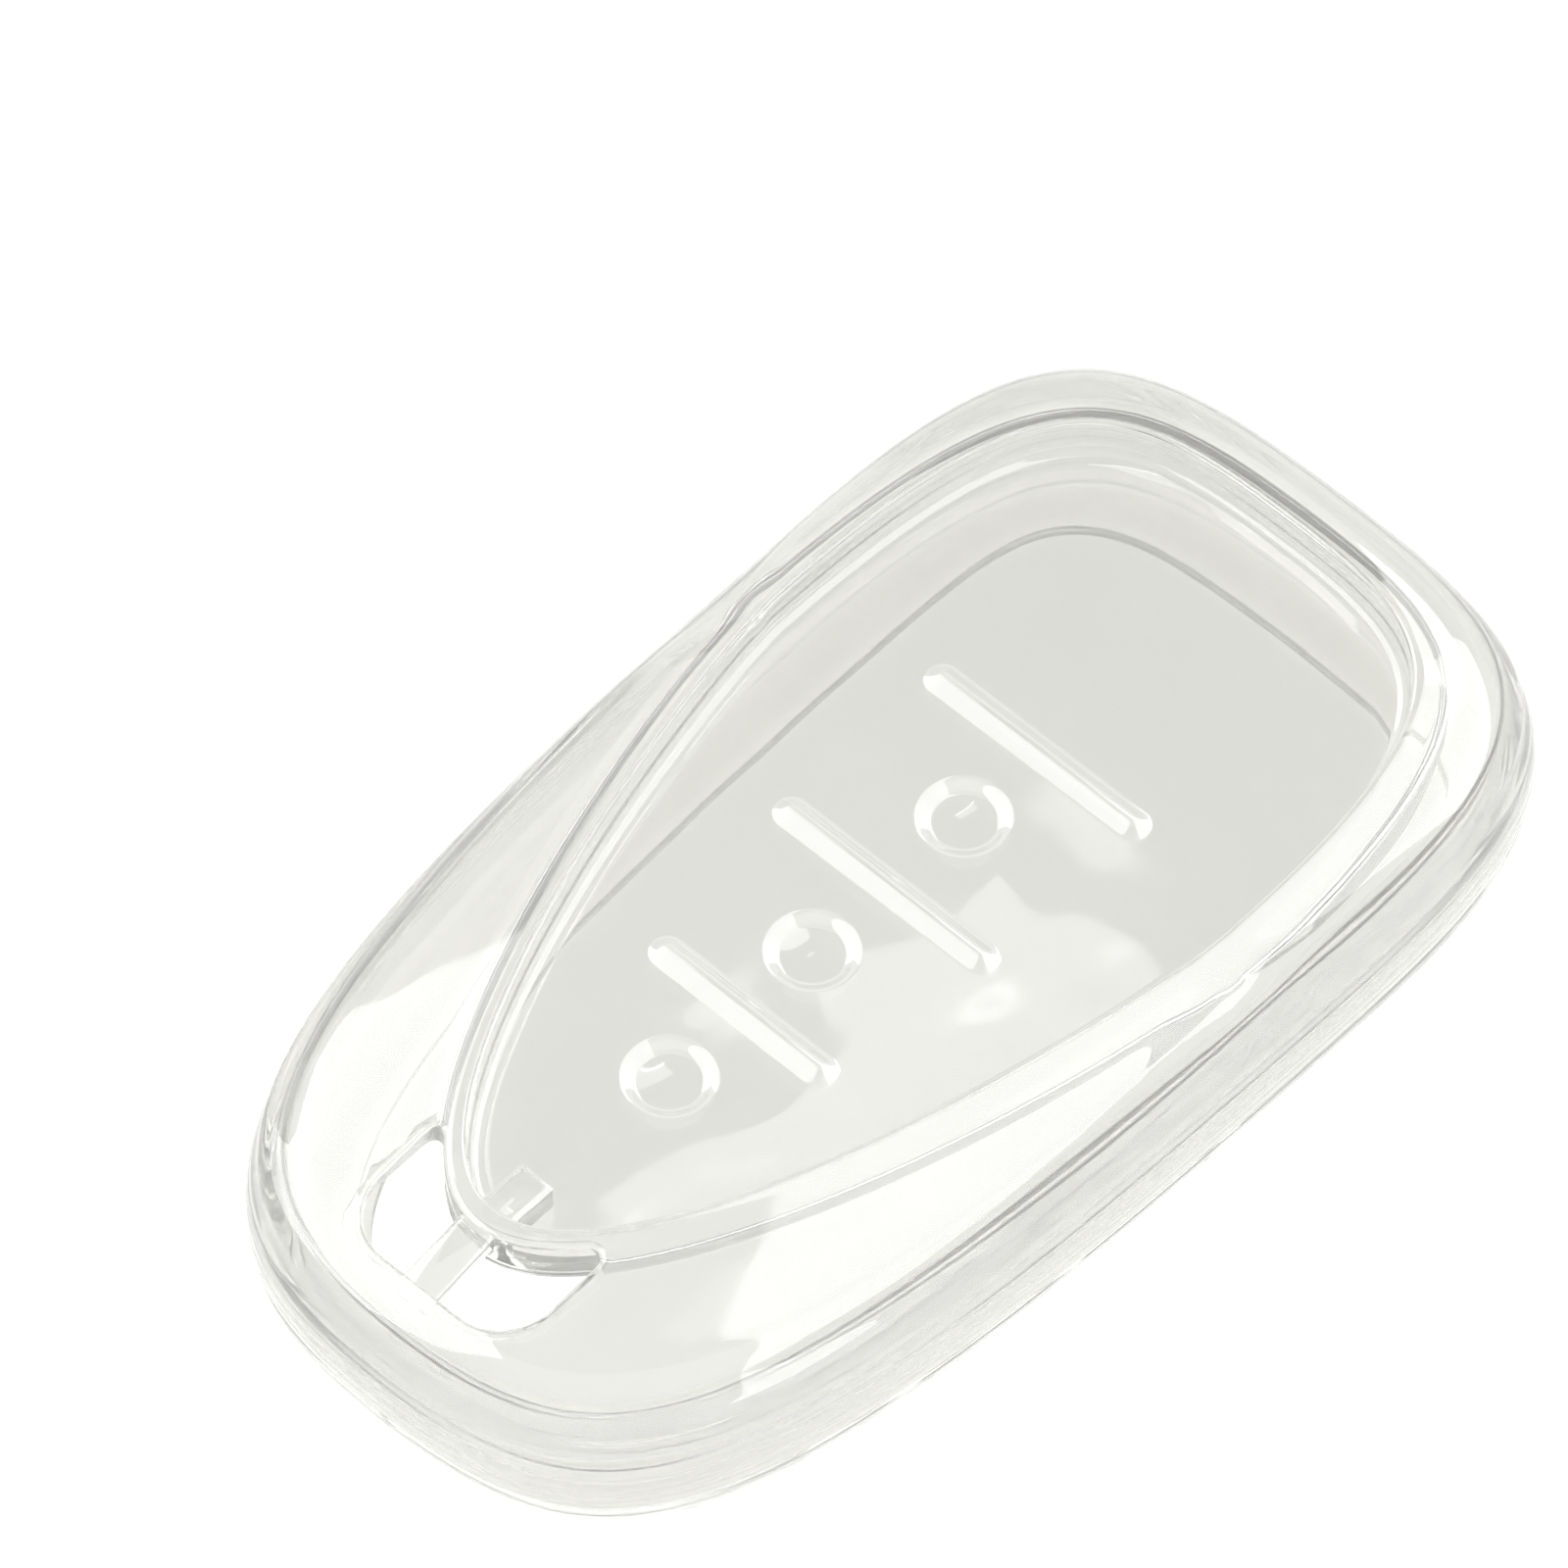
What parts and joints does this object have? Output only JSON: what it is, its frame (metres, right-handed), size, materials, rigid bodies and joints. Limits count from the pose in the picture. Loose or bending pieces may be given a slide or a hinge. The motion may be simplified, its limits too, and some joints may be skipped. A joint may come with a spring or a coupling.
{
  "type": "key fob cover",
  "caption": "Clear soft slip-on cover for a key fob, with a recessed front panel, press-through button pads, a key ring hole and an open back.",
  "frame": {"origin": "centre of the cover's outline, on the plane of its back face, which it rests on", "axes": "+X along the cover to the wide end, away from the key ring; +Z out of the button face; +Y across"},
  "size_m": [0.0814, 0.045, 0.0132],
  "materials": {
    "clear_tpu_shell": "clear moulded thermoplastic polyurethane, polished",
    "clear_tpu_pads": "clear moulded thermoplastic polyurethane, polished, thin at the webs",
    "clear_tpu_trim": "clear moulded thermoplastic polyurethane, polished"
  },
  "bodies": {
    "shell": {"front_rim": "clear_tpu_shell", "front_panel": "clear_tpu_shell", "side_wall": "clear_tpu_shell", "back_lip": "clear_tpu_shell", "lip_ledge": "clear_tpu_shell", "key_ring_bridge": "clear_tpu_shell", "key_ring_strap": "clear_tpu_trim", "bridge_tab": "clear_tpu_trim", "lower_pad_web": "clear_tpu_pads", "middle_pad_web": "clear_tpu_pads", "upper_pad_web": "clear_tpu_pads", "lower_separator_bar": "clear_tpu_trim", "middle_separator_bar": "clear_tpu_trim", "upper_separator_bar": "clear_tpu_trim"},
    "lower_button": {"lower_button_pad": "clear_tpu_pads"},
    "middle_button": {"middle_button_pad": "clear_tpu_pads"},
    "upper_button": {"upper_button_pad": "clear_tpu_pads"}
  },
  "joints": [
    {"name": "lower_button_press", "type": "slide", "parent": "shell", "child": "lower_button", "axis": [0, 0, -1], "range_m": [0, 0.0005], "stiffness_N_per_m": 1500, "deforming": ["lower_pad_web"]},
    {"name": "middle_button_press", "type": "slide", "parent": "shell", "child": "middle_button", "axis": [0, 0, -1], "range_m": [0, 0.0005], "stiffness_N_per_m": 1500, "deforming": ["middle_pad_web"]},
    {"name": "upper_button_press", "type": "slide", "parent": "shell", "child": "upper_button", "axis": [0, 0, -1], "range_m": [0, 0.0005], "stiffness_N_per_m": 1500, "deforming": ["upper_pad_web"]}
  ]
}
